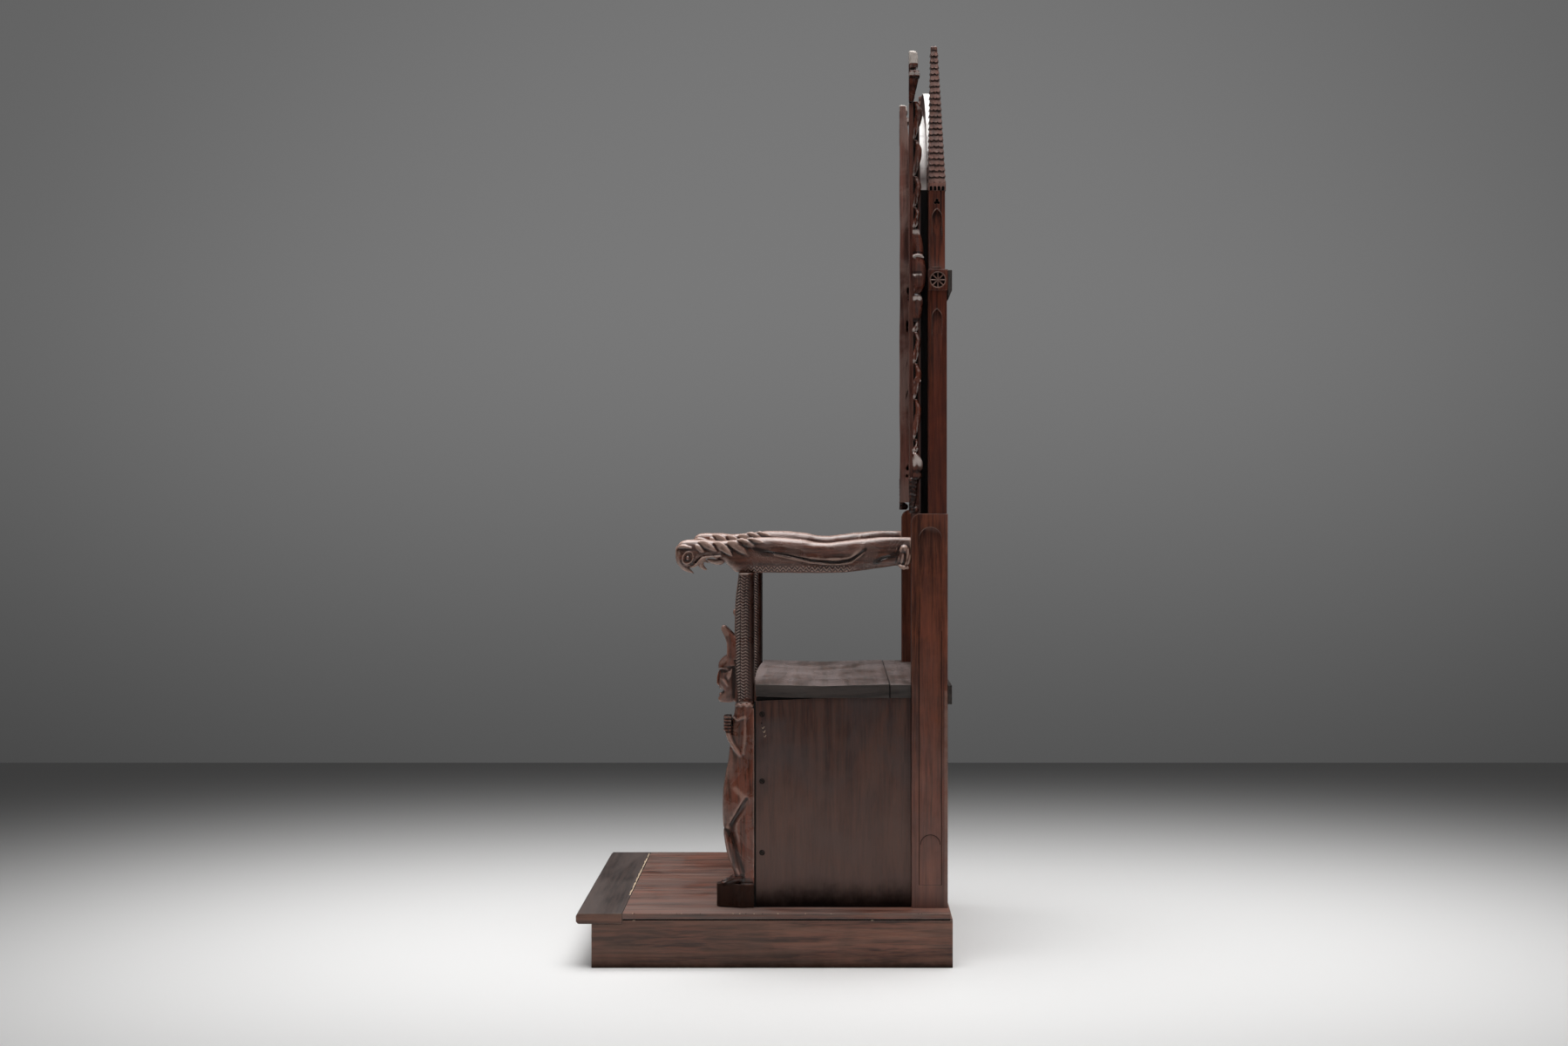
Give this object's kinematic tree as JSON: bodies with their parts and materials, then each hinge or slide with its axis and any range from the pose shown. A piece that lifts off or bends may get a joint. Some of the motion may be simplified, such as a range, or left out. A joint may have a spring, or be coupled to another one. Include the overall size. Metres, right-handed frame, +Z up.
{
  "type": "carved throne",
  "caption": "Tall carved wooden throne: a chest seat on a low platform, horned figures carrying eagle arms, and an arched back between tiled spires.",
  "frame": {"origin": "on the floor, under the middle of the bounding box", "axes": "+Z up, the sitter faces -Y, +X towards the side with the unbroken finial"},
  "size_m": [0.72, 0.8352, 2.052],
  "materials": {
    "platform_wood": "satin",
    "chest_wood": "satin",
    "seat_wood": "satin",
    "post_wood": "satin",
    "carved_wood": "semi-gloss"
  },
  "bodies": {
    "root": {"skirt_side_right": "platform_wood", "skirt_side_left": "platform_wood", "skirt_front": "platform_wood", "skirt_back": "platform_wood", "front_board": "platform_wood", "deck_board_1": "platform_wood", "deck_board_2": "platform_wood", "deck_board_3": "platform_wood", "deck_board_4": "platform_wood", "chest_side_right": "chest_wood", "chest_side_left": "chest_wood", "chest_front": "chest_wood", "seat_lid": "seat_wood", "seat_strip": "seat_wood", "lower_post_right": "post_wood", "lower_post_left": "post_wood", "upper_post_right": "post_wood", "upper_post_left": "post_wood", "rail_seat": "post_wood", "rail_collar": "post_wood", "back_board": "post_wood", "back_tracery": "post_wood", "seat_back": "post_wood", "spire_right": "carved_wood", "spire_left": "carved_wood", "pilaster_right": "carved_wood", "pilaster_left": "carved_wood", "front_figure_right": "carved_wood", "front_figure_left": "carved_wood", "arm_right": "carved_wood", "arm_left": "carved_wood"}
  },
  "joints": []
}
